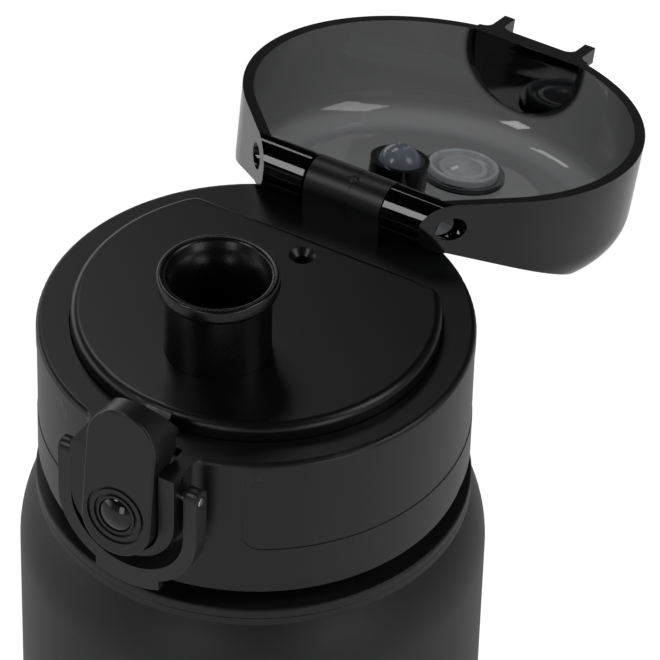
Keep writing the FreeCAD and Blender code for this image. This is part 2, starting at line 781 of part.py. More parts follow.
def rod_along_x(name, radius, start, end, y, z):
    """A plain pin along X, a Part cylinder."""
    rod = DOC.addObject("Part::Cylinder", name)
    rod.Label = name
    bind(rod, "Radius", radius)
    bind(rod, "Height", end - start)
    rod.Placement = Placement(Vector(), Rotation(Vector(0, 1, 0), 90))
    for axis, size in (("x", start), ("y", y), ("z", z)):
        bind(rod, f".Placement.Base.{axis}", size)
    return rod


def coil(name, mean, wire, turns, length, place, turn):
    """A wound spring of six-sided wire; its axis starts at place and points along the turned Z."""
    spring = DOC.addObject("Part::Feature", name)
    spring.Label = name
    helix = Part.makeHelix(length / turns, length, mean)
    corners = [math.radians(60 * number) for number in range(7)]
    section = Part.makePolygon([Vector(mean + wire * math.cos(a), 0, wire * math.sin(a)) for a in corners])
    spring.Shape = Part.Wire(helix.Edges).makePipeShell([section], True, True)
    spring.Placement = Placement(place, turn)
    return spring


def hinge_spring():
    """Torsion spring inside the barrel, wound round the pin; it throws the cover open."""
    clear = S.spring_wire.number + S.running_fit.number
    length = S.spring_bore_depth.number - 2 * clear
    end = S.barrel_half.number - clear
    return coil("hinge_spring", S.spring_mean.number, S.spring_wire.number, S.spring_turns.number, length,
                Vector(end, HINGE_Y.number, HINGE_Z.number), Rotation(Vector(0, 1, 0), -90))


def release_tab():
    """Rocking latch tab: stadium front, nose that hooks the catch, rings round a push button."""
    body = new_body("release_tab")
    half, top = S.tab_half, TOP + S.tab_lift
    low, high = TAB_END_Z, TOP + S.tab_lift - S.tab_half
    pad(body, "XZ", [[(half, low, half, "left"), (half, high), (ZERO, top, half, "left"),
                      (-half, high, half, "left"), (-half, low), (ZERO, low - half, half, "left")]],
        TAB_FRONT - TAB_NOSE, lift=TAB_NOSE)
    tab_rear(body, top)
    fillet(body, S.edge_break, [(half, -TAB_FRONT, TOP)])
    pocket(body, "YZ", [("circle", -PIVOT_Y, PIVOT_Z, S.tab_pin_radius + S.running_fit)], FAR, both=True)
    for radius in (S.ring_inner, S.ring_outer):
        pocket(body, "XZ", [("circle", ZERO, BUTTON_Z, radius),
                            ("circle", ZERO, BUTTON_Z, radius - S.ring_width)],
               S.ring_depth + 1, lift=TAB_FRONT - S.ring_depth)
    pocket(body, "XZ", [("circle", ZERO, BUTTON_Z, S.button_radius + S.running_fit)],
           S.button_sink + 1, lift=TAB_FRONT - S.button_sink)
    return body


def upright(y, z):
    """Where a point of the leaning tab comes in the tab's own upright drawing."""
    cosine, sine = S.tab_lean.cosine(), S.tab_lean.sine()
    across, up = y + PIVOT_Y, z - PIVOT_Z
    return across * cosine - up * sine - PIVOT_Y, across * sine + up * cosine + PIVOT_Z


def tab_rear(body, top):
    """Cut the tab's rear to its plate, waist, nose and lead-in ramp."""
    far, low, high = 1 - TAB_NOSE, TAB_END_Z - S.tab_half - 1, top + 1
    waist = S.tab_waist - TAB_FRONT
    neck = -CATCH_FRONT - S.moving_gap
    hook = CATCH_TOP + S.moving_gap
    pocket(body, "YZ", [[
        (-TAB_BACK, low), (-TAB_BACK, TOP - S.tab_waist * 1.5), (waist, TOP - S.tab_waist),
        (waist, TOP - S.edge_break), upright(neck, TOP + S.tab_pivot_drop), upright(neck, hook),
        upright(-TAB_NOSE, hook), upright(-TAB_NOSE, hook + S.tab_nose_height),
        (S.tab_crest - TAB_FRONT, high), (far, high), (far, low)]], FAR, both=True)


def push_button():
    """Domed button face let into the tab."""
    body = new_body("push_button")
    back = -TAB_FRONT + S.button_sink
    edge = -TAB_FRONT + S.button_edge
    crown = S.button_crown
    dome = (S.button_radius * S.button_radius + crown * crown) / (crown * 2)
    revolve(body, [(ZERO, back), (ZERO, edge - crown), (S.button_radius, edge, dome, "left"),
                   (S.button_radius, back)], plane="XY", axis="Y")
    return body


def tab_spring():
    """Compression spring behind the button; its far end enters the seat in the lid."""
    wire = S.tab_spring_wire
    back = (TAB_BACK - PIVOT_Y) / S.tab_lean.cosine()
    rise = (PIVOT_Z - BUTTON_Z - S.tab_spring_mean - wire) * S.tab_lean.tangent()
    start = PIVOT_Y + back + rise - wire
    return coil("tab_spring", S.tab_spring_mean.number, wire.number, S.tab_spring_turns.number,
                (start - TAB_FLOOR).number, Vector(0, -start.number, BUTTON_Z.number),
                Rotation(Vector(1, 0, 0), -90))


def lock_bail():
    """U-shaped wire-like bail with flat arms, pinned outside the latch frame."""
    body = new_body("lock_bail")
    outer, inner = BAIL_OUTER, BAIL_INNER
    top, centre = BAIL_Z + S.bail_head, TOP - S.bail_centre_drop
    front = BAIL_Y + S.bail_depth / 2
    pad(body, "XZ", [[
        (outer, centre, outer, "left"), (outer, top), (inner, top), (inner, centre),
        (ZERO, centre - inner, inner, "right"), (-inner, centre, inner, "right"), (-inner, top),
        (-outer, top), (-outer, centre), (ZERO, centre - outer, outer, "left")]],
        S.bail_depth, lift=front - S.bail_depth)
    middle = outer - S.bail_width / 2
    ends = [(side * middle, y, top) for side in (1, -1) for y in (-front, -front + S.bail_depth)]
    fillet(body, S.bail_depth / 2 - 0.1, ends)
    half, edge, root = S.bail_lip_half, outer + S.bail_lip, outer - S.bail_width / 2
    low, high = centre - (edge * edge - half * half).root(), centre - (root * root - half * half).root()
    pad(body, "XZ", [[(half, high), (ZERO, centre - root, root, "right"), (-half, high, root, "right"),
                      (-half, low), (ZERO, centre - edge, edge, "left"), (half, low, edge, "left")]],
        S.bail_lip_thick, lift=front - S.bail_lip_thick)
    pocket(body, "YZ", [("circle", -BAIL_Y, BAIL_Z, S.bail_pin_radius + S.running_fit)], FAR, both=True)
    return body


def turn_about(item, angle, axis_y, axis_z, y=ZERO, z=ZERO):
    """Turn a piece back by an angle about an axis along X; its own origin started at y and z."""
    cosine, sine = angle.cosine(), angle.sine()
    across, up = y - axis_y, z - axis_z
    item.Placement = Placement(Vector(), Rotation(Vector(1, 0, 0), (360 - angle).number))
    bind(item, ".Placement.Rotation.Angle", 360 - angle)
    bind(item, ".Placement.Base.y", axis_y + across * cosine + up * sine)
    bind(item, ".Placement.Base.z", axis_z - across * sine + up * cosine)
    return item


def swing_open(item, y=ZERO):
    """Place a piece drawn in the shut cover, at the given y, where it rests with the cover open."""
    return turn_about(item, S.open_angle, HINGE_Y, HINGE_Z, y)


def lean_out(item, z=ZERO):
    """Place a piece of the tab drawn upright, at the given height, where the sprung tab rests."""
    return turn_about(item, S.tab_lean, -PIVOT_Y, PIVOT_Z, ZERO, z)


def build():
    """Every piece, in the order it would go together."""
    ear = FRAME_HALF - S.edge_break
    pieces = [
        bottle_body(), inner_cap(), neck_gasket(), drinking_spout(), spout_gasket(), lid_shell(),
        swing_open(flip_cover()),
        swing_open(vent_plug(), S.vent_place),
        swing_open(spout_seal(), -S.spout_place),
        rod_along_x("hinge_pin", S.pin_radius, -S.pin_half, S.pin_half, HINGE_Y, HINGE_Z),
        hinge_spring(), lean_out(release_tab()), lean_out(push_button(), BUTTON_Z), tab_spring(),
        rod_along_x("tab_pin", S.tab_pin_radius, -ear, ear, -PIVOT_Y, PIVOT_Z),
        lock_bail(),
        rod_along_x("bail_pin_right", S.bail_pin_radius, BAIL_PIN_INNER, BAIL_OUTER, -BAIL_Y, BAIL_Z),
        rod_along_x("bail_pin_left", S.bail_pin_radius, -BAIL_OUTER, -BAIL_PIN_INNER, -BAIL_Y, BAIL_Z),
    ]
    DOC.recompute()
    return pieces


def check(pieces):
    """Stop when anything in the document failed or a piece is not a sound solid."""
    failed = [item.Name for item in DOC.Objects if {"Invalid", "Error"} & set(item.State)]
    failed += [item.Label for item in pieces if item.Shape.isNull() or not item.Shape.isValid()]
    if failed:
        raise RuntimeError(f"not built: {failed}")


def export(pieces):
    os.makedirs("parts", exist_ok=True)
    for item in pieces:
        item.Shape.exportStep(f"parts/{item.Label}.step")
        print(f"{item.Label}: {item.Shape.Volume:.0f} mm3, {len(item.Shape.Solids)} solid")


def main():
    pieces = build()
    check(pieces)
    export(pieces)


main()
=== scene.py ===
"""Visual model of a flip-top sports bottle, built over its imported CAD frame.

Each sub-assembly is a class that holds its sizes in millimetres, models what shows of it and dresses
it in its finishes.  Shapes that are right in CAD are taken over as merged copies with softened edges;
turned pieces are modelled afresh at a finer grain.  Everything rides on the CAD body it belongs to.
"""
import logging
import math
from dataclasses import dataclass, field
from enum import Enum
from typing import Any, Sequence, Union

import bpy
from mathutils import Matrix, Vector


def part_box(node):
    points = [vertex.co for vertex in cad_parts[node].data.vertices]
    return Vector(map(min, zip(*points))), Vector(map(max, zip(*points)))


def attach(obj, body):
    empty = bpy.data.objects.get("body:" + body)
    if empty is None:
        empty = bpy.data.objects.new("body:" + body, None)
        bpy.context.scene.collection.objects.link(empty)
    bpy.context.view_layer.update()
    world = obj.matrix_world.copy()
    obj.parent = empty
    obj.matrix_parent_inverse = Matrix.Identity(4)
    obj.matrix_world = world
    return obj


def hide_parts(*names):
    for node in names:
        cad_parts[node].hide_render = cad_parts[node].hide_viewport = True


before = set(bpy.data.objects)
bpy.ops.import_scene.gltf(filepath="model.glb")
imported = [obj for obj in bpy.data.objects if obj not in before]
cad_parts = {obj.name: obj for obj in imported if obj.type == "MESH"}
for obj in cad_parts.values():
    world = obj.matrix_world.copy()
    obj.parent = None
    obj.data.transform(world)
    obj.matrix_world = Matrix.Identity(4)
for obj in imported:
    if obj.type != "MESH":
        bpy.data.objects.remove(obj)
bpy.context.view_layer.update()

LOG = logging.getLogger("flip_top_bottle")
MM = 0.001
Point = tuple[float, float]


class Slot(Enum):
    """The record's material slots."""

    BOTTLE = "bottle"
    CAP = "cap"
    LID = "lid"
    COVER = "cover"
    LATCH = "latch"
    BUTTON = "button"
    SILICONE = "silicone"
    STEEL = "steel"


class Body(Enum):
    """The CAD bodies that pieces ride on."""

    BOTTLE = "bottle"
    CAP_SEAL = "cap_seal"
    LID = "lid"
    COVER = "cover"
    TAB = "tab"
    BAIL = "bail"


# ---------------------------------------------------------------- shader maths


class Wire:
    """One output socket, wrapped so that shader maths reads as an expression."""

    def __init__(self, paint: "Paint", socket: bpy.types.NodeSocket) -> None:
        """Wraps a socket of the paint's node tree."""
        self.paint = paint
        self.socket = socket

    def _math(self, operation: str, *values: Any) -> "Wire":
        """Adds a Math node.

        Args:
            operation: Blender's name of the sum.
            values: wires or numbers, in the node's order.

        Returns:
            The wire of its result.
        """
        inputs = dict(enumerate(values))
        return self.paint.node("ShaderNodeMath", {"operation": operation}, inputs)

    def __add__(self, other: Any) -> "Wire":
        """Sum."""
        return self._math("ADD", self, other)

    def __radd__(self, other: Any) -> "Wire":
        """Sum, reflected."""
        return self._math("ADD", other, self)

    def __sub__(self, other: Any) -> "Wire":
        """Difference."""
        return self._math("SUBTRACT", self, other)

    def __rsub__(self, other: Any) -> "Wire":
        """Difference, reflected."""
        return self._math("SUBTRACT", other, self)

    def __mul__(self, other: Any) -> "Wire":
        """Product."""
        return self._math("MULTIPLY", self, other)

    def __rmul__(self, other: Any) -> "Wire":
        """Product, reflected."""
        return self._math("MULTIPLY", other, self)

    def above(self, threshold: float, width: float) -> "Wire":
        """A soft step between two levels.

        Args:
            threshold: where the step reaches 1.
            width: how far below that it is 0.

        Returns:
            The wire of the step.
        """
        step = self._math("MULTIPLY_ADD", self, 1.0 / width, 1.0 - threshold / width)
        step.socket.node.use_clamp = True
        return step


Colour = Union[Wire, Sequence[float]]


class Paint:
    """A material under construction: a Principled shader and the nodes that feed it."""

    def __init__(self, name: str) -> None:
        """Starts a node material.

        Args:
            name: the material's name.
        """
        self.material = bpy.data.materials.new(name)
        self.material.use_nodes = True
        self.tree = self.material.node_tree
        self.shader = self.tree.nodes["Principled BSDF"]

    @classmethod
    def of_world(cls, world: bpy.types.World) -> "Paint":
        """Takes up a world's node tree instead of a material's.

        Args:
            world: the world, with its nodes on.

        Returns:
            The paint, with the world's white Background as its shader.
        """
        air = cls.__new__(cls)
        air.material, air.tree, air.shader = None, world.node_tree, world.node_tree.nodes["Background"]
        air.shader.inputs["Color"].default_value = (1.0, 1.0, 1.0, 1.0)
        return air

    def node(self, kind: str, settings: dict[str, Any], inputs: dict[Any, Any], output: Any = 0) -> Wire:
        """Adds a node of any kind.

        Args:
            kind: Blender's node type.
            settings: properties of the node, set before its sockets.
            inputs: socket name or number to a wire or a plain value.
            output: which output to return.

        Returns:
            The wire of the chosen output.
        """
        made = self.tree.nodes.new(kind)
        for key, value in settings.items():
            setattr(made, key, value)
        for key, value in inputs.items():
            self.join(made.inputs[key], value)
        return Wire(self, made.outputs[output])

    def join(self, target: bpy.types.NodeSocket, value: Any) -> None:
        """Links a wire to a socket, or writes a plain value on it.

        Args:
            target: the input socket.
            value: a wire or a plain value.
        """
        if isinstance(value, Wire):
            self.tree.links.new(value.socket, target)
        else:
            target.default_value = value

    def set(self, **sockets: Any) -> None:
        """Feeds the Principled shader's own sockets; underscores stand for spaces."""
        for name, value in sockets.items():
            self.join(self.shader.inputs[name.replace("_", " ")], value)

    def place(self) -> Wire:
        """Object coordinates."""
        return self.node("ShaderNodeTexCoord", {}, {}, "Object")

    def noise(self, size_mm: float, detail: float = 2.0, roughness: float = 0.5) -> Wire:
        """Cloudy noise.

        Args:
            size_mm: about how wide its patches are, in millimetres.
            detail: octaves of finer noise.
            roughness: weight of the finer noise.

        Returns:
            The wire of its value.
        """
        inputs = {"Vector": self.place(), "Scale": 1.0 / (size_mm * MM), "Detail": detail,
                  "Roughness": roughness}
        return self.node("ShaderNodeTexNoise", {}, inputs, 0)

    def dots(self, spacing_mm: float, radius: float) -> Wire:
        """Small round specks, sparse and scattered.

        Args:
            spacing_mm: mean distance between them, in millimetres.
            radius: their radius as a share of the spacing.

        Returns:
            A mask that is 1 in the specks.
        """
        cells = self.node("ShaderNodeTexVoronoi", {"feature": "F1"},
                          {"Vector": self.place(), "Scale": 1.0 / (spacing_mm * MM)}, "Distance")
        return 1.0 - cells.above(radius, radius * 0.5)

    def blend(self, mask: Wire, low: Colour, high: Colour) -> Wire:
        """Mixes two colours by a mask.

        Args:
            mask: 0 for the first colour, 1 for the second.
            low: the first colour, as a wire or as red, green and blue.
            high: the second colour, likewise.

        Returns:
            The wire of the mixed colour.
        """
        first, second = (value if isinstance(value, Wire) else (*value, 1.0) for value in (low, high))
        return self.node("ShaderNodeMix", {"data_type": "RGBA"}, {0: mask, 6: first, 7: second}, 2)

    def bump(self, height: Wire, depth_mm: float, strength: float = 1.0) -> Wire:
        """Turns a height into a bumped normal."""
        inputs = {"Strength": strength, "Distance": depth_mm * MM, "Height": height}
        return self.node("ShaderNodeBump", {}, inputs, "Normal")


# ---------------------------------------------------------------- finishes


@dataclass(frozen=True)
class MouldedPlastic:
    """Opaque moulded plastic with a fine grain, faint clouding and a few specks of dust.

    Args:
        name: the material's name.
        colour: linear base colour.
        roughness: mean roughness.
        grain_mm: size of the surface grain.
        grain_depth_mm: height of the grain.
        dust: how much lighter the dust specks are.
        cloud: how much the colour varies over the surface.
        specular: strength of the sheen.
    """

    name: str
    colour: tuple[float, float, float]
    roughness: float
    grain_mm: float
    grain_depth_mm: float
    dust: float
    cloud: float = 0.18
    specular: float = 0.42

    def material(self) -> bpy.types.Material:
        """Builds the node material.

        Returns:
            The material, ready for a piece.
        """
        paint = Paint(self.name)
        clouds = paint.noise(11.0, 3.0)
        grain = paint.noise(self.grain_mm, 2.0, 0.6)
        low = [part * (1.0 - self.cloud) for part in self.colour]
        high = [part * (1.0 + self.cloud) for part in self.colour]
        specks = paint.dots(1.7, 0.06) * paint.noise(6.0).above(0.56, 0.08)
        light = [part + self.dust for part in self.colour]
        tint = paint.blend(specks, paint.blend(clouds, low, high), light)
        paint.set(Base_Color=tint, Roughness=grain * 0.10 + clouds * 0.05 + (self.roughness - 0.075),
                  Normal=paint.bump(grain, self.grain_depth_mm),
                  Specular_IOR_Level=self.specular)
        return paint.material


@dataclass(frozen=True)
class FrostedWall:
    """The bottle's frosted wall: a soft satin skin with a whisper of orange peel."""

    name: str = "frosted_wall"
    colour: tuple[float, float, float] = (0.0062, 0.0065, 0.007)
    roughness: float = 0.48
    specular: float = 0.42

    def material(self) -> bpy.types.Material:
        """Builds the node material.

        Returns:
            The material, ready for a piece.
        """
        paint = Paint(self.name)
        peel = paint.noise(3.2, 2.0)
        frost = paint.noise(0.12, 2.0, 0.7)
        drift = paint.noise(38.0, 2.0)
        tint = paint.blend(drift, [part * 0.85 for part in self.colour],
                           [part * 1.2 for part in self.colour])
        paint.set(Base_Color=tint, Roughness=frost * 0.08 + (self.roughness - 0.04),
                  Normal=paint.bump(frost * 0.6 + peel * 0.4, 0.012),
                  Specular_IOR_Level=self.specular)
        return paint.material


@dataclass(frozen=True)
class SmokeGloss:
    """Polished smoke-grey plastic: clear where thin, black where thick, with painted shade that makes the
    side walls darker than the roof.

    Args:
        name: the material's name.
        tint: what a thick layer lets through, red, green and blue.
        density: absorption per metre.
        roughness: mean roughness.
        wall_painted_shade: how much the side wall lets through at its surface, kept low as painted shade
            that darkens the walls against the roof; the roof lets all through.
        roof_way: the way from the rim to the roof, with the cover open as it rests.
        roof_start: how far that way the roof begins, in millimetres.
        roof_fade: over how many millimetres wall turns to roof.
        thick: where the wall is thick and so lets nothing through: share of x counted, middle, reach
            and fade in millimetres.
        black: colour of the thick places.
    """

    name: str = "smoke_gloss"
    tint: tuple[float, float, float] = (0.03, 0.035, 0.045)
    density: float = 1050.0
    roughness: float = 0.05
    wall_painted_shade: tuple[float, float, float] = (0.45, 0.45, 0.44)
    roof_way: tuple[float, float, float] = (0.0, -0.22155, -0.97515)
    roof_start: float = -210.2
    roof_fade: float = 2.0
    thick: tuple[tuple[float, tuple[float, float, float], float, float], ...] = (
        (1.0, (0.0, 87.3, 211.4), 10.8, 0.8), (0.0, (0.0, 29.5, 221.9), 9.0, 5.0))
    black: tuple[float, float, float] = (0.004, 0.004, 0.005)

    def material(self) -> bpy.types.Material:
        """Builds the node material.

        Returns:
            The material, ready for a piece.
        """
        paint = Paint(self.name)
        haze = paint.noise(4.0, 3.0, 0.6)
        scuffs = paint.dots(2.6, 0.03)
        rise = paint.node("ShaderNodeVectorMath", {"operation": "DOT_PRODUCT"},
                          {0: paint.place(), 1: self.roof_way}, "Value")
        roof = rise.above(self.roof_start * MM, self.roof_fade * MM)
        cloud = paint.noise(16.0) * 0.1
        # painted shade: the side walls take the darker wall colour while the roof lets all light through
        tone = paint.blend(roof * (1.0 - cloud), self.wall_painted_shade, (1.0, 1.0, 1.0))
        for across, place, reach, fade in self.thick:
            flat = paint.node("ShaderNodeVectorMath", {"operation": "MULTIPLY"},
                              {0: paint.place(), 1: (across, 1.0, 1.0)})
            away = paint.node("ShaderNodeVectorMath", {"operation": "DISTANCE"},
                              {0: flat, 1: [part * MM for part in place]}, "Value")
            shade = away.above((reach + fade) * MM, fade * MM)
            tone = paint.blend(shade, self.black, tone)
        paint.set(Base_Color=tone, Roughness=haze * 0.04 + scuffs * 0.1 + (self.roughness - 0.02),
                  Normal=paint.bump(paint.noise(9.0), 0.012), IOR=1.5, Transmission_Weight=1.0)
        body = paint.node("ShaderNodeVolumeAbsorption", {},
                          {"Color": (*self.tint, 1.0), "Density": self.density}, "Volume")
        paint.join(paint.tree.nodes["Material Output"].inputs["Volume"], body)
        return paint.material


@dataclass(frozen=True)
class DarkGloss:
    """Polished solid black plastic."""

    name: str = "button_gloss"
    colour: tuple[float, float, float] = (0.005, 0.005, 0.0055)
    roughness: float = 0.07

    def material(self) -> bpy.types.Material:
        """Builds the node material.

        Returns:
            The material, ready for a piece.
        """
        paint = Paint(self.name)
        haze = paint.noise(2.0, 3.0, 0.6)
        tint = paint.blend(paint.noise(7.0), self.colour, [part * 1.5 for part in self.colour])
        paint.set(Base_Color=tint, Roughness=haze * 0.08 + (self.roughness - 0.03),
                  Normal=paint.bump(paint.noise(5.0), 0.01))
        return paint.material


@dataclass(frozen=True)
class Silicone:
    """Milky grey silicone that glows a little where it is thin."""

    name: str = "milky_silicone"
    colour: tuple[float, float, float] = (0.18, 0.205, 0.24)
    roughness: float = 0.16

    def material(self) -> bpy.types.Material:
        """Builds the node material.

        Returns:
            The material, ready for a piece.
        """
        paint = Paint(self.name)
        milk = paint.noise(1.6, 3.0)
        tint = paint.blend(milk, [part * 0.8 for part in self.colour],
                           [part * 1.25 for part in self.colour])
        paint.set(Base_Color=tint, Roughness=milk * 0.1 + (self.roughness - 0.05),
                  Normal=paint.bump(paint.noise(0.5), 0.006), IOR=1.41,
                  Subsurface_Weight=0.35, Subsurface_Radius=(1.2, 1.4, 1.6), Subsurface_Scale=MM)
        return paint.material


@dataclass(frozen=True)
class DrawnSteel:
    """Plain drawn stainless wire and rod."""

    name: str = "drawn_steel"
    colour: tuple[float, float, float] = (0.56, 0.56, 0.57)

    def material(self) -> bpy.types.Material:
        """Builds the node material.

        Returns:
            The material, ready for a piece.
        """
        paint = Paint(self.name)
        streak = paint.noise(0.4, 3.0, 0.7)
        tint = paint.blend(streak, [part * 0.85 for part in self.colour],
                           [part * 1.1 for part in self.colour])
        paint.set(Base_Color=tint, Metallic=1.0, Roughness=streak * 0.2 + 0.18,
                  Normal=paint.bump(streak, 0.004))
        return paint.material


@dataclass(frozen=True)
class StudioFloor:
    """White floor that keeps its shadow but shows white to the eye and to gloss.

    Args:
        name: the material's name.
        tones: darkest and lightest grey of its faint mottle.
        lift: glow that brings it up to white for the camera.
        shine: share of that glow that glossy plastic sees.
    """

    name: str = "studio_floor"
    tones: tuple[float, float] = (0.54, 0.56)
    lift: float = 0.86
    shine: float = 0.46

    def material(self) -> bpy.types.Material:
        """Builds the node material.

        Returns:
            The material, ready for a piece.
        """
        paint = Paint(self.name)
        path = paint.node("ShaderNodeLightPath", {}, {}, "Is Camera Ray")
        gloss = Wire(paint, path.socket.node.outputs["Is Glossy Ray"])
        through = Wire(paint, path.socket.node.outputs["Is Transmission Ray"])
        seen = path + gloss * self.shine + through
        dark, pale = ((tone, tone, tone) for tone in self.tones)
        paint.set(Base_Color=paint.blend(paint.noise(400.0), dark, pale), Roughness=0.9,
                  Emission_Color=paint.blend(seen, (0.0, 0.0, 0.0), (1.0, 1.0, 1.0)),
                  Emission_Strength=self.lift)
        return paint.material


class Finishes:
    """All the finishes, each made once."""

    def __init__(self) -> None:
        """Builds every material."""
        self.wall = FrostedWall().material()
        self.lid = MouldedPlastic("lid_plastic", colour=(0.0058, 0.0062, 0.0068), roughness=0.38,
                                  grain_mm=0.25, grain_depth_mm=0.012, dust=0.04).material()
        self.cap = MouldedPlastic("cap_plastic", colour=(0.0032, 0.0033, 0.0035), roughness=0.33,
                                  grain_mm=0.2, grain_depth_mm=0.010, dust=0.03).material()
        self.latch = MouldedPlastic("latch_plastic", colour=(0.0135, 0.014, 0.0147), roughness=0.34,
                                    grain_mm=0.3, grain_depth_mm=0.026, dust=0.09).material()
        self.spout = MouldedPlastic("spout_plastic", colour=(0.0034, 0.0034, 0.0035), roughness=0.27,
                                    grain_mm=0.18, grain_depth_mm=0.008, dust=0.02).material()
        self.cover = SmokeGloss().material()
        self.button = DarkGloss().material()
        self.silicone = Silicone().material()
        # paler milky silicone for the spout seal; part of its lightness is painted highlight standing in
        # for the bright crescent on its dome
        self.pale_silicone_painted_highlight = Silicone("pale_silicone_painted_highlight", (0.5, 0.52, 0.545), 0.08).material()
        self.steel = DrawnSteel().material()


# ---------------------------------------------------------------- modelling bench


def softened(corners: Sequence[tuple[float, ...]], steps: int = 5, closed: bool = True) -> list[Point]:
    """Rounds the corners of a profile.

    Args:
        corners: (across, up) or (across, up, radius) in millimetres.
        steps: points along each rounding.
        closed: whether the last corner joins the first.

    Returns:
        The profile's points.
    """
    points: list[Point] = []
    count = len(corners)
    for number, corner in enumerate(corners):
        here = Vector(corner[:2])
        end = not closed and number in (0, count - 1)
        if len(corner) == 2 or end:
            points.append(tuple(here))
            continue
        back = (Vector(corners[number - 1][:2]) - here).normalized()
        ahead = (Vector(corners[(number + 1) % count][:2]) - here).normalized()
        half = back.angle(ahead) / 2.0
        reach = corner[2] / math.tan(half)
        centre = here + (back + ahead).normalized() * (corner[2] / math.sin(half))
        first, last = here + back * reach - centre, here + ahead * reach - centre
        sweep = first.angle_signed(last)
        for step in range(steps + 1):
            spoke = first.copy()
            spoke.rotate(Matrix.Rotation(-sweep * step / steps, 2))
            points.append(tuple(centre + spoke))
    return points


def arc(centre: Point, radius: float, start: float, end: float, steps: int = 12) -> list[Point]:
    """Points along an arc, from one angle to another in degrees."""
    angles = [math.radians(start + (end - start) * step / steps) for step in range(steps + 1)]
    return [(centre[0] + radius * math.cos(a), centre[1] + radius * math.sin(a)) for a in angles]


class Bench:
    """Modelling by hand with Blender's operators, one piece at a time."""

    @staticmethod
    def clear() -> None:
        """Deselects everything."""
        for item in bpy.context.selected_objects:
            item.select_set(False)

    @staticmethod
    def pick(piece: bpy.types.Object) -> None:
        """Makes a piece the only selected and the active one.

        Args:
            piece: the piece to work on.
        """
        Bench.clear()
        piece.select_set(True)
        bpy.context.view_layer.objects.active = piece

    @staticmethod
    def choose(piece: bpy.types.Object, kind: str) -> None:
        """Readies a piece for picking its faces or edges in code, with none picked yet.

        Args:
            piece: the piece to work on.
            kind: FACE or EDGE.
        """
        Bench.pick(piece)
        bpy.ops.object.mode_set(mode="EDIT")
        bpy.ops.mesh.select_mode(type=kind)
        bpy.ops.mesh.select_all(action="DESELECT")
        bpy.ops.object.mode_set(mode="OBJECT")

    @staticmethod
    def trace(name: str, path: Sequence[Vector], closed: bool) -> bpy.types.Object:
        """Draws a chain of edges by extruding one vertex along a path.

        Args:
            name: the new piece's name.
            path: points in metres.
            closed: whether the chain ends where it began.

        Returns:
            The new piece, left in edit mode with all selected.
        """
        Bench.clear()
        bpy.ops.mesh.primitive_plane_add(size=MM, location=path[0])
        piece = bpy.context.active_object
        piece.name = name
        bpy.ops.object.mode_set(mode="EDIT")
        bpy.ops.mesh.select_all(action="SELECT")
        bpy.ops.mesh.merge(type="CENTER")
        route = list(path) + ([path[0]] if closed else [])
        for here, there in zip(route, route[1:]):
            bpy.ops.mesh.extrude_region_move(TRANSFORM_OT_translate={"value": there - here})
        bpy.ops.mesh.select_all(action="SELECT")
        bpy.ops.mesh.remove_doubles(threshold=MM * 0.002)
        return piece

    @staticmethod
    def turned(name: str, profile: Sequence[Point], closed: bool = True, steps: int = 144,
               centre: tuple[float, float] = (0.0, 0.0)) -> bpy.types.Object:
        """Spins a profile about an upright axis.

        Args:
            name: the new piece's name.
            profile: (radius, height) in millimetres.
            closed: False where both ends lie on the axis.
            steps: facets round the turn.
            centre: where the axis stands, in millimetres.

        Returns:
            The finished piece.
        """
        path = [Vector(((centre[0] + r) * MM, centre[1] * MM, z * MM)) for r, z in profile]
        piece = Bench.trace(name, path, closed)
        bpy.ops.mesh.spin(steps=steps, angle=math.tau, center=(centre[0] * MM, centre[1] * MM, 0.0),
                          axis=(0.0, 0.0, 1.0))
        bpy.ops.mesh.select_all(action="SELECT")
        bpy.ops.mesh.remove_doubles(threshold=MM * 0.002)
        bpy.ops.mesh.normals_make_consistent(inside=False)
        bpy.ops.object.mode_set(mode="OBJECT")
        return Bench.settle(piece)

    @staticmethod
    def rod(name: str, start: Vector, end: Vector, radius: float, dome: float,
            steps: int = 48) -> bpy.types.Object:
        """A round pin with softly domed ends.

        Args:
            name: the new piece's name.
            start: one end in metres.
            end: the other end in metres.
            radius: in metres.
            dome: rounding of the ends in metres.
            steps: facets round it.

        Returns:
            The finished piece.
        """
        Bench.clear()
        length = (end - start).length
        bpy.ops.mesh.primitive_cylinder_add(vertices=steps, radius=radius, depth=length,
                                            location=(start + end) / 2.0,
                                            rotation=(end - start).to_track_quat("Z", "X").to_euler())
        piece = bpy.context.active_object
        piece.name = name
        Bench.settle(piece)
        Bench.soften(piece, dome, 4)
        return piece

    @staticmethod
    def settle(piece: bpy.types.Object, angle: float = 35.0) -> bpy.types.Object:
        """Puts the piece's place in its mesh and smooths it.

        Args:
            piece: the piece.
            angle: the sharpest edge that is smoothed over, in degrees.

        Returns:
            The same piece.
        """
        Bench.pick(piece)
        bpy.ops.object.transform_apply(location=True, rotation=True, scale=True)
        bpy.ops.object.shade_smooth_by_angle(angle=math.radians(angle))
        return piece

    @staticmethod
    def modify(piece: bpy.types.Object, kind: str, **settings: Any) -> None:
        """Adds a modifier and applies it.

        Args:
            piece: the piece it works on.
            kind: Blender's type of modifier.
            settings: the modifier's properties.
        """
        Bench.pick(piece)
        modifier = piece.modifiers.new(kind.title(), kind)
        for key, value in settings.items():
            setattr(modifier, key, value)
        bpy.ops.object.modifier_apply(modifier=modifier.name)

    @staticmethod
    def soften(piece: bpy.types.Object, width: float, segments: int = 3, angle: float = 32.0,
               smooth: float = 35.0) -> None:
        """Rounds the piece's sharp edges and evens out its shading.

        Args:
            piece: the piece.
            width: how far from the edge the rounding starts, in metres.
            segments: steps across each rounding.
            angle: the least angle that counts as an edge, in degrees.
            smooth: the sharpest edge that is smoothed over, in degrees.
        """
        Bench.modify(piece, "BEVEL", width=width, segments=segments, limit_method="ANGLE",
                     angle_limit=math.radians(angle), miter_outer="MITER_ARC", use_clamp_overlap=True)
        Bench.settle(piece, smooth)
        Bench.modify(piece, "WEIGHTED_NORMAL", weight=100, keep_sharp=True)

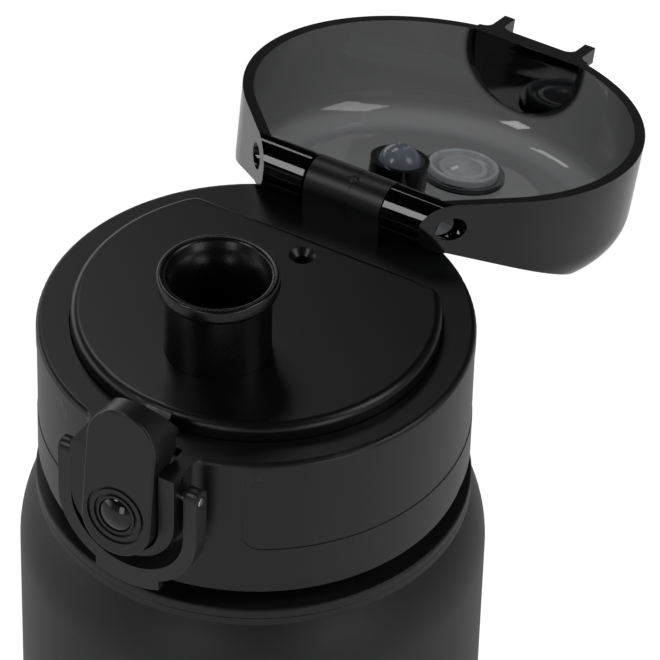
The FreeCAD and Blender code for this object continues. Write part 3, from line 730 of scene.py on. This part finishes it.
    @staticmethod
    def cut(piece: bpy.types.Object, tool: bpy.types.Object) -> None:
        """Cuts a tool's shape out of a piece and throws the tool away."""
        Bench.modify(piece, "BOOLEAN", operation="DIFFERENCE", solver="EXACT", object=tool)
        bpy.data.objects.remove(tool, do_unlink=True)

    @staticmethod
    def taken_over(node: str, name: str, edge: float = 0.0, segments: int = 2) -> bpy.types.Object:
        """Copies a CAD node's mesh, merges it and softens its edges.

        Args:
            node: the CAD node.
            name: the copy's name.
            edge: rounding of sharp edges in metres.
            segments: steps across each rounding.

        Returns:
            The merged copy, which is not yet on any body.
        """
        piece = bpy.data.objects.new(name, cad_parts[node].data.copy())
        bpy.context.scene.collection.objects.link(piece)
        Bench.pick(piece)
        bpy.ops.object.mode_set(mode="EDIT")
        bpy.ops.mesh.select_all(action="SELECT")
        bpy.ops.mesh.remove_doubles(threshold=MM * 0.0015)
        bpy.ops.mesh.dissolve_limited(angle_limit=math.radians(0.2))
        bpy.ops.object.mode_set(mode="OBJECT")
        if piece.data.has_custom_normals:
            bpy.ops.mesh.customdata_custom_splitnormals_clear()
        if edge:
            Bench.soften(piece, edge, segments)
        return piece


@dataclass
class Assembly:
    """What every sub-assembly shares: finishes, and the way a piece is handed over."""

    finishes: Finishes

    def hand_over(self, piece: bpy.types.Object, body: Body, slot: Slot, material: bpy.types.Material,
                  *nodes: str) -> bpy.types.Object:
        """Dresses a piece, seats it on its body and lets it stand for CAD nodes.

        Args:
            piece: the finished piece.
            body: the CAD body it moves with.
            slot: the record's material slot; not used.
            material: its finish.
            nodes: CAD nodes it stands for.

        Returns:
            The piece.
        """
        piece.data.materials.clear()
        piece.data.materials.append(material)
        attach(piece, body.value)
        if nodes:
            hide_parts(*nodes)
        LOG.info("%s: %d faces on %s", piece.name, len(piece.data.polygons), body.value)
        return piece

    def dress(self, node: str, material: bpy.types.Material) -> None:
        """Gives a CAD node that stays its finish.

        Args:
            node: the CAD node.
            material: its finish.
        """
        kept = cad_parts[node]
        kept.data.materials.clear()
        kept.data.materials.append(material)
        LOG.info("%s: dressed as it is", node)


# ---------------------------------------------------------------- sub-assemblies


@dataclass
class Bottle(Assembly):
    """The bottle, its neck thread and the seal on the neck, with sizes in millimetres."""

    radius: float = 37.1
    wall: float = 2.2
    corner: float = 7.0
    dish: float = 4.0
    dish_round: float = 2.5
    foot: float = 24.1
    foot_round: float = 1.2
    wall_rings: tuple[float, ...] = (30.0, 60.0, 90.0, 120.0, 150.0)
    shoulder_z: float = 173.0
    shoulder_turn: float = 21.0
    inner_turn: float = 46.0
    bead_low: float = 184.3
    bead_top: float = 187.6
    bead_radius: float = 34.4
    bead_groove: float = 0.09
    neck_radius: float = 29.2
    neck_bore: float = 26.8
    neck_top: float = 210.0
    neck_round: float = 0.5
    thread_drop: float = 14.0
    thread_turns: float = 1.5
    thread_pitch: float = 4.5
    thread_height: float = 0.85
    thread_root: float = 1.1
    thread_crest: float = 0.4
    seal_edge: float = 0.3

    def profile(self) -> list[Point]:
        """The wall's profile from axis to axis, with the parting groove round the bead.

        Returns:
            Radius and height of each point.
        """
        hub, heel = self.radius - self.shoulder_turn, self.radius - self.corner
        rise = self.bead_low - self.shoulder_z
        top = math.degrees(math.asin(rise / self.shoulder_turn))
        middle, groove = (self.bead_low + self.bead_top) / 2.0, self.bead_groove
        points: list[Point] = [(0.0, self.dish)]
        points += softened([(0.0, self.dish), (self.foot - self.dish, self.dish, self.dish_round),
                            (self.foot, 0.0, self.foot_round), (heel, 0.0)], 5, False)[1:]
        points += arc((heel, self.corner), self.corner, -90.0, 0.0, 12)[1:]
        points += [(self.radius, z) for z in self.wall_rings]
        shoulder = arc((hub, self.shoulder_z), self.shoulder_turn, 0.0, top, 18)
        points += shoulder[:-1]
        points += softened([shoulder[-2], (shoulder[-1][0], self.bead_low, 0.15),
                            (self.bead_radius, self.bead_low, 0.35),
                            (self.bead_radius, middle - groove, 0.04),
                            (self.bead_radius - groove, middle),
                            (self.bead_radius, middle + groove, 0.04),
                            (self.bead_radius, self.bead_top, 0.45),
                            (self.neck_radius, self.bead_top, self.neck_round),
                            (self.neck_radius, self.neck_top, self.neck_round),
                            (self.neck_bore, self.neck_top, self.neck_round),
                            (self.neck_bore, self.bead_low)], 4, False)[1:]
        inside = self.radius - self.wall
        points += arc((hub, self.shoulder_z - self.wall), self.shoulder_turn - self.wall,
                      self.inner_turn, 0.0, 14)
        points += [(inside, 90.0), (inside, self.corner + self.wall)]
        points += arc((heel, self.corner + self.wall * 0.92), self.corner - self.wall, 0.0, -90.0, 8)
        points.append((0.0, self.dish + self.wall))
        return points

    def thread(self) -> bpy.types.Object:
        """A ridge wound one and a half turns round the neck.

        Returns:
            The finished ridge, closed at both ends.
        """
        low, root = self.neck_top - self.thread_drop, self.neck_radius - 0.2
        crest = self.neck_radius + self.thread_height
        shape = [(root, low - self.thread_root), (crest, low - self.thread_crest),
                 (crest, low + self.thread_crest), (root, low + self.thread_root)]
        path = [Vector((r * MM, 0.0, z * MM)) for r, z in shape]
        ridge = Bench.trace("neck_thread", path, True)
        bpy.ops.object.mode_set(mode="OBJECT")
        Bench.settle(ridge)
        Bench.modify(ridge, "SCREW", angle=math.tau * self.thread_turns,
                     screw_offset=self.thread_pitch * self.thread_turns * MM, steps=140, render_steps=140,
                     use_merge_vertices=False, use_normal_calculate=True)
        Bench.pick(ridge)
        bpy.ops.object.mode_set(mode="EDIT")
        bpy.ops.mesh.select_all(action="DESELECT")
        bpy.ops.mesh.select_non_manifold()
        bpy.ops.mesh.edge_face_add()
        bpy.ops.mesh.select_all(action="SELECT")
        bpy.ops.mesh.normals_make_consistent(inside=False)
        bpy.ops.object.mode_set(mode="OBJECT")
        return Bench.settle(ridge)

    def build(self) -> None:
        """Builds and seats every piece."""
        wall = Bench.turned("bottle_wall", self.profile(), False, 180)
        self.hand_over(wall, Body.BOTTLE, Slot.BOTTLE, self.finishes.wall, "bottle_body")
        self.hand_over(self.thread(), Body.BOTTLE, Slot.BOTTLE, self.finishes.wall)
        seal = Bench.taken_over("neck_gasket", "neck_seal", self.seal_edge * MM, 3)
        self.hand_over(seal, Body.CAP_SEAL, Slot.SILICONE, self.finishes.silicone, "neck_gasket")


@dataclass
class InnerCap(Assembly):
    """The inner cap with its raised disc, the spout and the seal under it, in millimetres."""

    cap_edge: float = 0.12
    spout_y: float = -11.6
    spout_foot: float = 214.9
    flange_top: float = 216.5
    flange_radius: float = 10.6
    flange_edge: float = 0.3
    spout_radius: float = 8.24
    spout_bore: float = 5.64
    spout_tip: float = 234.3
    lip_radius: float = 9.5
    lip_height: float = 3.0
    lip_round: float = 1.15
    mouth: float = 8.15
    mouth_round: float = 0.7
    brim: float = 1.4
    funnel: float = 7.5

    def spout_profile(self) -> list[Point]:
        """The spout's closed profile: flange, neck, rounded lip and flared mouth.

        Returns:
            Radius and height of each point.
        """
        lip, throat = self.spout_tip - self.lip_height, self.mouth - 0.45
        points = softened([(self.spout_bore, self.spout_foot),
                           (self.flange_radius, self.spout_foot, self.flange_edge),
                           (self.flange_radius, self.flange_top, self.flange_edge),
                           (self.spout_radius, self.flange_top, 0.2), (self.spout_radius, lip, 0.45),
                           (self.lip_radius, lip + 0.25, self.lip_round),
                           (self.lip_radius - 0.15, self.spout_tip, 0.45),
                           (self.mouth + 0.05, self.spout_tip - 0.1, self.mouth_round),
                           (throat, self.spout_tip - self.brim)], 6, False)
        width, depth = throat - self.spout_bore, self.funnel - self.brim
        sweep = (width * width + depth * depth) / (2.0 * width)
        for step in range(1, 15):
            drop = depth * step / 14.0
            points.append((self.spout_bore + sweep - math.sqrt(sweep ** 2 - (depth - drop) ** 2),
                           self.spout_tip - self.brim - drop))
        return points

    def build(self) -> None:
        """Builds and seats every piece."""
        cap = Bench.taken_over("inner_cap", "cap_disc", self.cap_edge * MM, 2)
        self.hand_over(cap, Body.LID, Slot.CAP, self.finishes.cap, "inner_cap")
        spout = Bench.turned("spout", self.spout_profile(), True, 128, (0.0, self.spout_y))
        self.hand_over(spout, Body.LID, Slot.CAP, self.finishes.spout, "drinking_spout")
        self.dress("spout_gasket", self.finishes.silicone)


@dataclass
class Lid(Assembly):
    """The lid shell with its hinge barrel and latch frame, and the pins in it, in millimetres."""

    edge: float = 0.16
    hinge_y: float = 29.5
    hinge_z: float = 221.9
    barrel: float = 4.0
    parting_x: float = 0.9
    parting_depth: float = 0.08
    parting_half: float = 0.07
    gate_radius: float = 0.85
    gate_line: float = 0.16
    gate_depth: float = 0.12
    gate_lean: float = 18.0
    panel: float = 33.6
    panel_low: float = 199.8
    panel_top: float = 213.9
    panel_lift: float = 0.3
    pin_dome: float = 0.35

    def parting_line(self, shell: bpy.types.Object) -> None:
        """Cuts the fine mould line round the barrel and the gate mark on top of it.

        Args:
            shell: the lid's shell.
        """
        outer, inner, half = self.barrel + 0.4, self.barrel - self.parting_depth, self.parting_half
        middle = Vector((self.parting_x * MM, self.hinge_y * MM, self.hinge_z * MM))
        ring = Bench.turned("parting_tool", [(inner, -half), (outer, -half), (outer, half), (inner, half)],
                            True, 96)
        ring.matrix_world = Matrix.Translation(middle) @ Matrix.Rotation(math.radians(90), 4, "Y")
        Bench.settle(ring)
        Bench.cut(shell, ring)
        lean = math.radians(self.gate_lean)
        up = Vector((0.0, -math.sin(lean), math.cos(lean)))
        seat = middle + up * (self.barrel - self.gate_depth) * MM
        outer, inner = self.gate_radius, self.gate_radius - self.gate_line
        mark = Bench.turned("gate_tool", [(inner, 0.0), (outer, 0.0), (outer, 0.6), (inner, 0.6)], True, 40)
        mark.matrix_world = Matrix.Translation(seat) @ up.to_track_quat("Z", "X").to_matrix().to_4x4()
        Bench.settle(mark)
        Bench.cut(shell, mark)

    def ease_recess(self, shell: bpy.types.Object) -> None:
        """Lifts the floor of the side panels so that only a faint step is left round them.

        Args:
            shell: the lid's shell, before its edges are softened.
        """
        Bench.choose(shell, "FACE")
        on_floor = [abs(math.hypot(corner.co.x, corner.co.y) / MM - self.panel) < 0.01
                    for corner in shell.data.vertices]
        for face in shell.data.polygons:
            at_height = self.panel_low < face.center.z / MM < self.panel_top
            face.select = at_height and all(on_floor[corner] for corner in face.vertices)
        bpy.ops.object.mode_set(mode="EDIT")
        swell = 1.0 + self.panel_lift / self.panel
        bpy.ops.transform.resize(value=(swell, swell, 1.0), center_override=(0.0, 0.0, 0.0))
        bpy.ops.mesh.select_mode(type="VERT")
        bpy.ops.object.mode_set(mode="OBJECT")

    def pin(self, name: str, node: str) -> None:
        """Makes one pin with domed ends and seats it in place of its node.

        Args:
            name: the new pin's name.
            node: the CAD pin it stands for.
        """
        low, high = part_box(node)
        radius = (high.z - low.z) / 2.0
        middle = (low + high) / 2.0
        rod = Bench.rod(name, Vector((low.x, middle.y, middle.z)), Vector((high.x, middle.y, middle.z)),
                        radius, radius * self.pin_dome)
        self.hand_over(rod, Body.LID, Slot.STEEL, self.finishes.steel, node)

    def build(self) -> None:
        """Builds and seats every piece."""
        shell = Bench.taken_over("lid_shell", "lid_outer")
        self.ease_recess(shell)
        Bench.soften(shell, self.edge * MM, 2)
        self.parting_line(shell)
        Bench.modify(shell, "WEIGHTED_NORMAL", weight=100, keep_sharp=True)
        self.hand_over(shell, Body.LID, Slot.LID, self.finishes.lid, "lid_shell")
        for name, node in (("cover_pin", "hinge_pin"), ("latch_pin", "tab_pin"),
                           ("bail_rivet_right", "bail_pin_right"), ("bail_rivet_left", "bail_pin_left")):
            self.pin(name, node)
        self.dress("hinge_spring", self.finishes.steel)


@dataclass
class Cover(Assembly):
    """The flip cover with its vent plug and spout seal, in millimetres, as it stands when shut."""

    edge: float = 0.16
    hinge: tuple[float, float] = (29.5, 221.9)
    rim: float = 217.6
    rim_round: float = 0.55
    open_angle: float = 192.8
    plug_place: float = 13.8
    plug_apex: float = 219.5
    plug_radius: float = 3.45
    plug_dome: float = 3.1
    dimple: float = 1.1
    dimple_depth: float = 0.6
    plug_foot: float = 2.0
    plug_foot_radius: float = 3.95
    plug_top: float = 228.45
    seal_place: float = -11.6
    seal_face: float = 232.7
    seal_back: float = 234.8
    seal_radius: float = 6.0
    seal_ring: float = 0.35
    seal_moat: float = 1.0
    seal_step: float = 4.1
    seal_dome: float = 3.0
    seal_dome_height: float = 0.95

    def swing(self, piece: bpy.types.Object) -> bpy.types.Object:
        """Turns a piece of the shut cover to where it rests open.

        Args:
            piece: the piece, modelled with the cover shut.

        Returns:
            The same piece, open.
        """
        y, z = self.hinge
        middle = Vector((0.0, y * MM, z * MM))
        turn = Matrix.Rotation(math.radians(-self.open_angle), 4, "X")
        piece.matrix_world = Matrix.Translation(middle) @ turn @ Matrix.Translation(-middle)
        return Bench.settle(piece)

    def round_rim(self, shell: bpy.types.Object) -> None:
        """Rounds both edges of the open rim more than the rest.

        Args:
            shell: the cover's shell, before its other edges are softened.
        """
        turn = math.radians(self.open_angle)
        up = Vector((0.0, math.sin(turn), math.cos(turn)))
        axis, drop = Vector((0.0, *self.hinge)), self.rim - self.hinge[1]
        level = [abs((corner.co / MM - axis).dot(up) - drop) < 0.05 for corner in shell.data.vertices]
        Bench.choose(shell, "EDGE")
        bpy.ops.object.mode_set(mode="EDIT")
        bpy.ops.mesh.edges_select_sharp(sharpness=math.radians(40.0))
        bpy.ops.object.mode_set(mode="OBJECT")
        for edge in shell.data.edges:
            edge.select = edge.select and all(level[corner] for corner in edge.vertices)
        LOG.info("rim edges rounded: %d", sum(edge.select for edge in shell.data.edges))
        bpy.ops.object.mode_set(mode="EDIT")
        bpy.ops.mesh.bevel(offset=self.rim_round * MM, segments=4, clamp_overlap=True)
        bpy.ops.mesh.select_mode(type="VERT")
        bpy.ops.object.mode_set(mode="OBJECT")

    def plug(self) -> bpy.types.Object:
        """The vent plug: a silicone bullet with a dimpled tip, on a foot.

        Returns:
            The plug, swung open with the cover.
        """
        start = math.asin(self.dimple / self.plug_radius)
        brink = self.plug_apex + self.plug_dome * (1.0 - math.cos(start))
        points = [(self.dimple * share, brink + self.dimple_depth * depth)
                  for share, depth in ((0.0, 1.0), (0.5, 0.8), (0.88, 0.3))]
        for step in range(17):
            turn = start + (math.pi / 2.0 - start) * step / 16.0
            points.append((self.plug_radius * math.sin(turn),
                           self.plug_apex + self.plug_dome * (1.0 - math.cos(turn))))
        ledge = self.plug_top - self.plug_foot
        foot = self.plug_foot_radius
        points += softened([points[-1], (self.plug_radius, ledge, 0.2), (foot, ledge, 0.25),
                            (foot, self.plug_top, 0.25), (0.0, self.plug_top)], 3, False)[1:]
        return self.swing(Bench.turned("vent_bung", points, False, 72, (0.0, self.plug_place)))

    def seal(self) -> bpy.types.Object:
        """The spout seal: a thick disc with a raised rim, a moat, a step and a central dome.

        Returns:
            The seal, swung open with the cover.
        """
        face, edge = self.seal_face, self.seal_radius
        ring, moat, step = face + self.seal_ring, face + self.seal_moat, self.seal_step
        dome = (self.seal_dome ** 2 + self.seal_dome_height ** 2) / (2.0 * self.seal_dome_height)
        end = math.degrees(math.asin(self.seal_dome / dome))
        points = arc((0.0, ring - self.seal_dome_height + dome), dome, -90.0, -90.0 + end, 12)
        points += softened([points[-1], (self.seal_dome + 0.1, ring + 0.15, 0.1), (step, ring + 0.1, 0.35),
                            (step + 0.1, moat, 0.3), (edge - 0.95, moat, 0.3), (edge - 0.8, face, 0.3),
                            (edge, face, 0.4), (edge, self.seal_back, 0.1), (0.0, self.seal_back)],
                           4, False)[1:]
        return self.swing(Bench.turned("spout_stopper", points, False, 84, (0.0, self.seal_place)))

    def build(self) -> None:
        """Builds and seats every piece."""
        shell = Bench.taken_over("flip_cover", "cover_shell")
        self.round_rim(shell)
        Bench.soften(shell, self.edge * MM, 2)
        self.hand_over(shell, Body.COVER, Slot.COVER, self.finishes.cover, "flip_cover")
        self.hand_over(self.plug(), Body.COVER, Slot.SILICONE, self.finishes.silicone, "vent_plug")
        self.hand_over(self.seal(), Body.COVER, Slot.SILICONE, self.finishes.pale_silicone_painted_highlight, "spout_seal")


@dataclass
class Latch(Assembly):
    """The release tab with its button and spring, and the lock bail, in millimetres."""

    tab_edge: float = 0.12
    button_edge: float = 0.08
    bail_edge: float = 0.5

    def build(self) -> None:
        """Builds and seats every piece."""
        tab = Bench.taken_over("release_tab", "latch_tab", self.tab_edge * MM, 2)
        self.hand_over(tab, Body.TAB, Slot.LATCH, self.finishes.latch, "release_tab")
        button = Bench.taken_over("push_button", "latch_button", self.button_edge * MM, 2)
        self.hand_over(button, Body.TAB, Slot.BUTTON, self.finishes.button, "push_button")
        self.dress("tab_spring", self.finishes.steel)
        bail = Bench.taken_over("lock_bail", "locking_bail", self.bail_edge * MM, 3)
        self.hand_over(bail, Body.BAIL, Slot.LATCH, self.finishes.latch, "lock_bail")


# ---------------------------------------------------------------- studio


@dataclass(frozen=True)
class Softbox:
    """A rectangular lamp that looks at the lid.

    Args:
        name: the lamp's name.
        turn: degrees to the right of the camera, seen from above.
        lift: degrees above the horizon.
        away: distance in metres.
        size: width and height in metres.
        watts: power.
    """

    name: str
    turn: float
    lift: float
    away: float
    size: tuple[float, float]
    watts: float


@dataclass
class Studio:
    """Floor, lamps, world and camera.

    Args:
        azimuth: how far the camera stands round to the right of the latch, in degrees.
        elevation: how far it looks down, in degrees.
        distance: from the camera to the point it turns about, in metres.
        look: that point.
        pan: how far the camera turns aside from it, in degrees.
        tilt: how far it turns up from it, in degrees.
        roll: how far it leans, in degrees.
        lens: focal length in millimetres.
        horizon: brightness of the surround low down.
        ceiling: brightness of the surround overhead.
        backdrop: brightness of the surround's bright patch.
        backdrop_turn: where that patch is, in degrees to the right of the camera.
        softboxes: the lamps.
    """

    azimuth: float = 30.2
    elevation: float = 39.99
    distance: float = 0.76835
    look: tuple[float, float, float] = (0.0, 0.0, 0.217)
    pan: float = 0.847
    tilt: float = -0.117
    roll: float = -0.988
    lens: float = 271.92
    horizon: float = 0.2
    ceiling: float = 0.02
    backdrop: float = 1.8
    backdrop_turn: float = -122.0
    softboxes: list[Softbox] = field(default_factory=lambda: [
        Softbox("left_softbox", -62.0, 42.0, 1.0, (0.22, 0.42), 1.7),
        Softbox("right_softbox", 76.0, 38.0, 1.0, (0.4, 0.6), 2.2),
        Softbox("front_left_softbox", -26.0, 6.0, 1.5, (0.4, 0.6), 2.0),
        Softbox("front_right_softbox", 40.0, 6.0, 1.5, (0.6, 0.6), 2.8),
        Softbox("rear_softbox", -158.0, 48.0, 1.0, (0.4, 0.25), 1.1),
    ])

    def away(self, turn: float, lift: float) -> Vector:
        """The direction from the lid towards a place given by turn and lift in degrees."""
        a, e = math.radians(self.azimuth + turn), math.radians(lift)
        return Vector((math.sin(a) * math.cos(e), -math.cos(a) * math.cos(e), math.sin(e)))

    def camera(self) -> None:
        """Sets up the camera and makes it the scene's own."""
        back = self.away(0.0, self.elevation)
        side = Vector((math.cos(math.radians(self.azimuth)), math.sin(math.radians(self.azimuth)), 0.0))
        ahead = -back
        up = side.cross(ahead)
        pan, tilt, roll = (math.radians(a) for a in (self.pan, self.tilt, self.roll))
        right = side * math.cos(pan) - ahead * math.sin(pan)
        ahead = side * math.sin(pan) + ahead * math.cos(pan)
        over = up * math.cos(tilt) - ahead * math.sin(tilt)
        ahead = up * math.sin(tilt) + ahead * math.cos(tilt)
        across = right * math.cos(roll) - over * math.sin(roll)
        over = right * math.sin(roll) + over * math.cos(roll)
        data = bpy.data.cameras.new("camera")
        data.lens, data.sensor_width = self.lens, 36.0
        data.clip_start, data.clip_end = 0.05, 20.0
        eye = bpy.data.objects.new("camera", data)
        place = Vector(self.look) + back * self.distance
        turn = Matrix((across, over, -ahead)).transposed().to_4x4()
        eye.matrix_world = Matrix.Translation(place) @ turn
        bpy.context.scene.collection.objects.link(eye)
        bpy.context.scene.camera = eye

    def lamps(self) -> None:
        """Hangs the softboxes, each turned to the lid."""
        for box in self.softboxes:
            data = bpy.data.lights.new(box.name, "AREA")
            data.shape = "RECTANGLE"
            data.size, data.size_y = box.size
            data.energy = box.watts
            lamp = bpy.data.objects.new(box.name, data)
            toward = self.away(box.turn, box.lift)
            turn = toward.to_track_quat("Z", "Y").to_matrix().to_4x4()
            lamp.matrix_world = Matrix.Translation(Vector(self.look) + toward * box.away) @ turn
            bpy.context.scene.collection.objects.link(lamp)

    def world(self) -> None:
        """A surround that is white to the eye; the bottle sees it pale low down and dim above."""
        world = bpy.data.worlds.new("studio")
        bpy.context.scene.world = world
        world.use_nodes = True
        air = Paint.of_world(world)
        path = air.node("ShaderNodeLightPath", {}, {}, "Is Camera Ray")
        through = Wire(air, path.socket.node.outputs["Is Transmission Ray"])
        toward = air.node("ShaderNodeTexCoord", {}, {}, "Generated")
        height = air.node("ShaderNodeSeparateXYZ", {}, {"Vector": toward}, "Z")
        high = height.above(0.33, 0.2)
        rear = air.node("ShaderNodeVectorMath", {"operation": "DOT_PRODUCT"},
                        {0: toward, 1: self.away(self.backdrop_turn, 0.0)}, "Value").above(0.8, 0.3)
        low = self.horizon + rear * (self.backdrop - self.horizon)
        dim = low - high * (low - self.ceiling)
        white = path + through
        air.join(air.shader.inputs["Strength"], white + (1.0 - white) * dim)

    def floor(self) -> None:
        """A wide white floor."""
        Bench.clear()
        bpy.ops.mesh.primitive_plane_add(size=8.0, location=(0.0, 0.0, 0.0))
        floor = bpy.context.active_object
        floor.name = "studio_floor"
        floor.data.materials.append(StudioFloor().material())

    def build(self) -> None:
        """Sets the whole studio."""
        bpy.context.scene.view_settings.view_transform = "Standard"
        self.camera()
        self.lamps()
        self.world()
        self.floor()


def main() -> None:
    """Builds every sub-assembly in order, then the studio."""
    logging.basicConfig(level=logging.INFO, format="%(message)s")
    finishes = Finishes()
    for kind in (Bottle, InnerCap, Lid, Cover, Latch):
        LOG.info("building %s", kind.__name__)
        kind(finishes).build()
    Studio().build()


if __name__ == "__main__":
    main()
